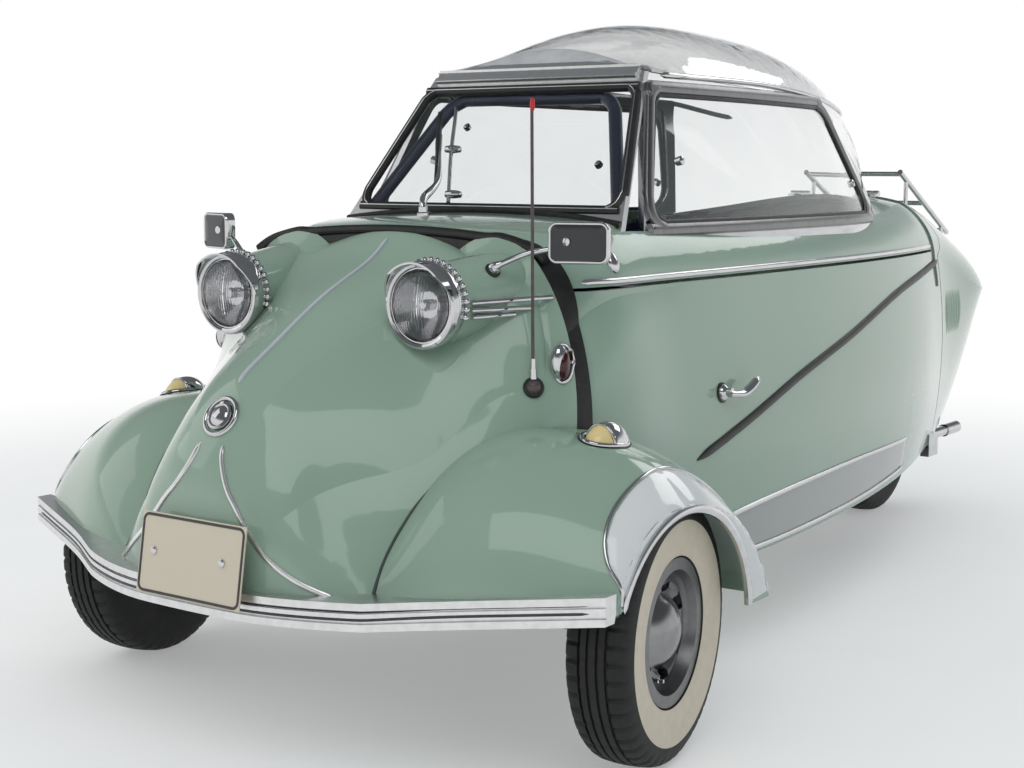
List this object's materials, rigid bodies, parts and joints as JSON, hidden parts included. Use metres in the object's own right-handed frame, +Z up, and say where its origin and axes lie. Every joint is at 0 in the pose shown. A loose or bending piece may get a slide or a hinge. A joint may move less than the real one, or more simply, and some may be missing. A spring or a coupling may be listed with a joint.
{
  "type": "bubble car",
  "caption": "Three-wheeled tandem two-seat bubble car with a side-hinged dome hatch, lifting tail, steered front wheels and chrome trim.",
  "frame": {"origin": "centre of the bounding box in plan, on the ground under the tyres", "axes": "+X to the car's left, +Y to its rear, +Z up"},
  "size_m": [1.2278, 2.82, 1.2002],
  "materials": {
    "paint_green": "gloss",
    "chrome": "polished",
    "alu": "polished",
    "rubber": "matte",
    "tyre": "matte",
    "silver": "satin",
    "glass": "clear",
    "black_metal": "satin",
    "steel": "brushed",
    "vinyl": "satin",
    "plastic": "gloss",
    "plate": "satin"
  },
  "bodies": {
    "chassis": {"antenna": "chrome", "badge_ring": "chrome", "bumper_strip": "alu", "column_tube": "black_metal", "dashboard": "vinyl", "driver_seat": "vinyl", "engine_block": "steel", "engine_cradle": "black_metal", "exhaust": "chrome", "fender_lamp_lenses": "plastic", "fender_lamps": "chrome", "fender_left": "paint_green", "fender_right": "paint_green", "floor_board": "black_metal", "frame_rails": "black_metal", "front_axle_beam": "black_metal", "hatch_hinge_pins": "steel", "headlamp_lenses": "glass", "headlamp_rings": "chrome", "latch_handle": "chrome", "mirrors": "chrome", "nose_bead": "rubber", "nose_shell": "paint_green", "number_plate": "plate", "rear_seat": "vinyl", "side_lamps": "plastic", "swing_arm": "black_metal", "tail_catches": "chrome", "tail_hinge_pins": "steel", "tub_shell": "paint_green"},
    "hatch": {"hatch_shell": "paint_green", "windscreen_frame": "alu", "windscreen": "glass", "side_frames": "alu", "side_windows": "glass", "dome": "glass", "wiper": "chrome", "hatch_hinge_eyes": "steel"},
    "tail": {"tail_shell": "paint_green", "tail_hinge_eyes": "steel", "luggage_rack": "chrome", "tail_lamps": "plastic", "mudflap": "rubber"},
    "wheel_left": {"rim_front_left": "silver", "tyre_front_left": "tyre"},
    "wheel_right": {"rim_front_right": "silver", "tyre_front_right": "tyre"},
    "wheel_rear": {"rim_rear": "silver", "tyre_rear": "tyre"},
    "steer_left": {"knuckle_left": "black_metal"},
    "steer_right": {"knuckle_right": "black_metal"},
    "handlebar": {"steering_bar": "steel"}
  },
  "joints": [
    {"name": "steer_left_turn", "type": "hinge", "parent": "chassis", "child": "steer_left", "pos_m": [0.465, -0.955, 0.2075], "axis": [0, 0, 1], "range_deg": [-34, 18]},
    {"name": "steer_right_turn", "type": "hinge", "parent": "chassis", "child": "steer_right", "pos_m": [-0.465, -0.955, 0.2075], "axis": [0, 0, 1], "range_deg": [-34, 18]},
    {"name": "handlebar_turn", "type": "hinge", "parent": "chassis", "child": "handlebar", "pos_m": [0, -0.44, 0.7], "axis": [0, 0.9055, 0.4244], "range_deg": [-51, 27]},
    {"name": "wheel_left_spin", "type": "hinge", "parent": "steer_left", "child": "wheel_left", "pos_m": [0.53927, -0.94456, 0.2075], "axis": [0.9903, 0.1392, 0], "continuous": true},
    {"name": "wheel_right_spin", "type": "hinge", "parent": "steer_right", "child": "wheel_right", "pos_m": [-0.53927, -0.96544, 0.2075], "axis": [0.9903, 0.1392, 0], "continuous": true},
    {"name": "wheel_rear_spin", "type": "hinge", "parent": "chassis", "child": "wheel_rear", "pos_m": [0, 1.085, 0.2075], "axis": [1, 0, 0], "continuous": true},
    {"name": "hatch_swing", "type": "hinge", "parent": "chassis", "child": "hatch", "pos_m": [-0.374, -0.525, 0.716], "axis": [0, -1, 0], "range_deg": [0, 80]},
    {"name": "tail_lift", "type": "hinge", "parent": "chassis", "child": "tail", "pos_m": [0, 0.845, 0.852], "axis": [1, 0, 0], "range_deg": [0, 60]}
  ],
  "couplings": [
    {"joint": "steer_right_turn", "follows": "steer_left_turn", "ratio": 1},
    {"joint": "handlebar_turn", "follows": "steer_left_turn", "ratio": 1.5}
  ]
}
